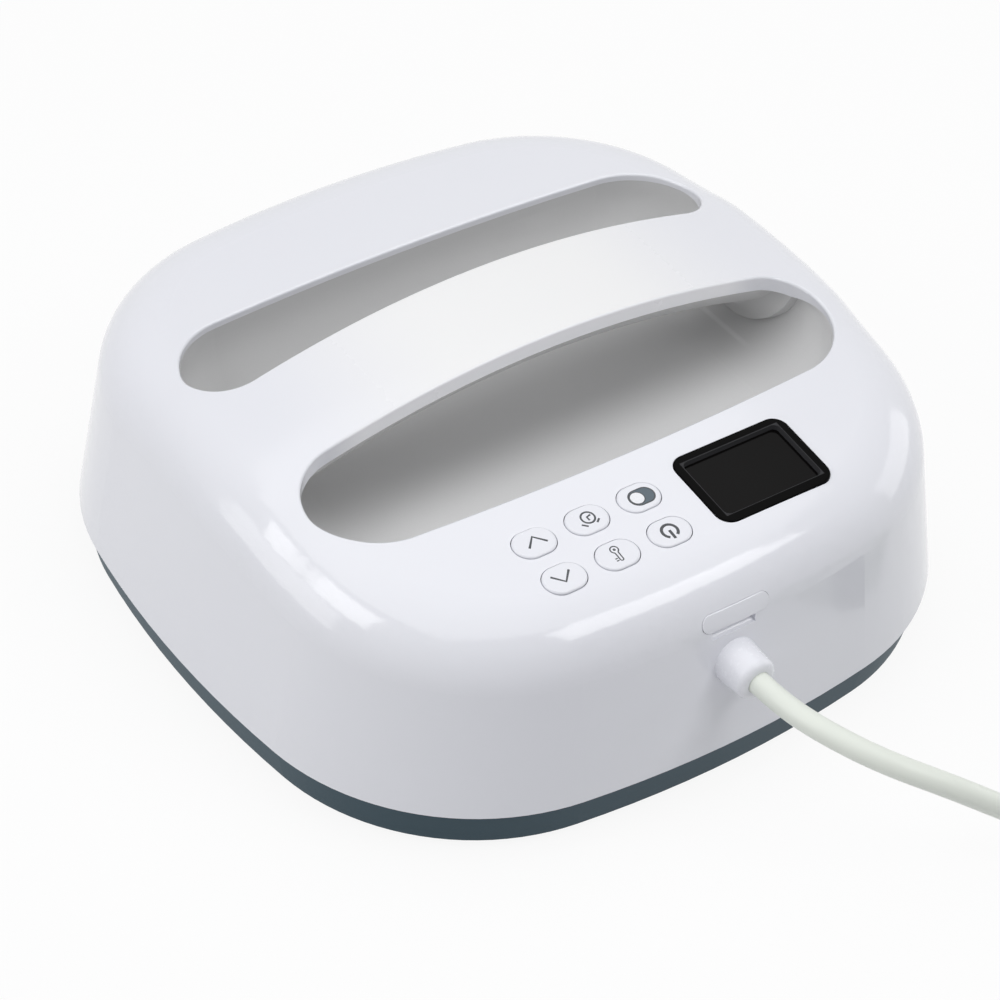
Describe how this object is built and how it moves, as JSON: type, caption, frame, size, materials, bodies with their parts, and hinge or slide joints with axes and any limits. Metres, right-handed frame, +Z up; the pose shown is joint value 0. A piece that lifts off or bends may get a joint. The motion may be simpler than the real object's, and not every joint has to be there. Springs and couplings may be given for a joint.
{
  "type": "flat heat press",
  "caption": "Flat hand-held heat press: square hot plate under a white crowned cover with an arched handle over a grey finger tub, keys, display and mains cord",
  "frame": {"origin": "centre of the hot plate's working face, at z = 0", "axes": "+X across the press along the handle, +Y from the user toward the cord side, +Z up"},
  "size_m": [0.3349, 0.4518, 0.1092],
  "materials": {
    "white_shell": "smooth gloss",
    "grey_grip": "fine matte texture",
    "slate_base": "satin",
    "display_black": "gloss",
    "display_glass": "tinted gloss",
    "key_white": "satin gloss",
    "plate_metal": "coated matte",
    "sheet_steel": "rolled sheet",
    "screw_steel": "zinc plated",
    "element_steel": "heat darkened",
    "ceramic_white": "matte",
    "mat_fibre": "compressed fibre",
    "board_green": "solder mask",
    "part_black": "moulded",
    "brass_pin": "plated",
    "cord_white": "satin jacket",
    "wire_sleeve": "silicone",
    "tie_fabric": "woven"
  },
  "bodies": {
    "housing": {"base_cover": "slate_base", "buzzer": "part_black", "capacitors": "part_black", "case_screws": "screw_steel", "clamp_screws": "screw_steel", "conductors": "wire_sleeve", "control_board": "board_green", "cord_clamp": "part_black", "cord_coil": "cord_white", "cord_gland": "key_white", "cord_inlet": "cord_white", "cord_tie": "tie_fabric", "display_bezel": "display_black", "display_window": "display_glass", "earth_screw": "screw_steel", "earth_tag": "brass_pin", "element_bushes": "ceramic_white", "element_leads": "wire_sleeve", "flange_screws": "screw_steel", "fuse": "display_glass", "grip_screws": "screw_steel", "grip_tub": "grey_grip", "handle_grip": "grey_grip", "heat_plate": "plate_metal", "heat_shield": "sheet_steel", "heating_element": "element_steel", "insulation_mat": "mat_fibre", "lcd_module": "screw_steel", "mains_cord": "cord_white", "panel_screws": "screw_steel", "plug_body": "cord_white", "plug_pins": "brass_pin", "power_board": "board_green", "power_screws": "screw_steel", "rear_plug": "white_shell", "relay": "part_black", "ribbon_cable": "cord_white", "sensor_leads": "wire_sleeve", "sensor_screws": "screw_steel", "shield_spacers": "screw_steel", "spacer_screws": "screw_steel", "switch_bodies": "part_black", "temperature_probe": "brass_pin", "terminal_block": "board_green", "thermal_cutout": "screw_steel", "top_cover": "white_shell", "transformer": "element_steel", "tub_screws": "screw_steel"},
    "body_down": {"key_down": "key_white", "plunger_down": "part_black"},
    "body_up": {"key_up": "key_white", "plunger_up": "part_black"},
    "body_timer": {"key_timer": "key_white", "plunger_timer": "part_black"},
    "body_heat": {"key_heat": "key_white", "plunger_heat": "part_black"},
    "body_mode": {"key_mode": "key_white", "plunger_mode": "part_black"},
    "body_power": {"key_power": "key_white", "plunger_power": "part_black"}
  },
  "joints": [
    {"name": "press_down", "type": "slide", "parent": "housing", "child": "body_down", "axis": [0, -0.1274, -0.9919], "range_m": [0, 0.0005], "stiffness_N_per_m": 4000},
    {"name": "press_up", "type": "slide", "parent": "housing", "child": "body_up", "axis": [0, -0.1274, -0.9919], "range_m": [0, 0.0005], "stiffness_N_per_m": 4000},
    {"name": "press_timer", "type": "slide", "parent": "housing", "child": "body_timer", "axis": [0, -0.1274, -0.9919], "range_m": [0, 0.0005], "stiffness_N_per_m": 4000},
    {"name": "press_heat", "type": "slide", "parent": "housing", "child": "body_heat", "axis": [0, -0.1274, -0.9919], "range_m": [0, 0.0005], "stiffness_N_per_m": 4000},
    {"name": "press_mode", "type": "slide", "parent": "housing", "child": "body_mode", "axis": [0, -0.1274, -0.9919], "range_m": [0, 0.0005], "stiffness_N_per_m": 4000},
    {"name": "press_power", "type": "slide", "parent": "housing", "child": "body_power", "axis": [0, -0.1274, -0.9919], "range_m": [0, 0.0005], "stiffness_N_per_m": 4000}
  ]
}
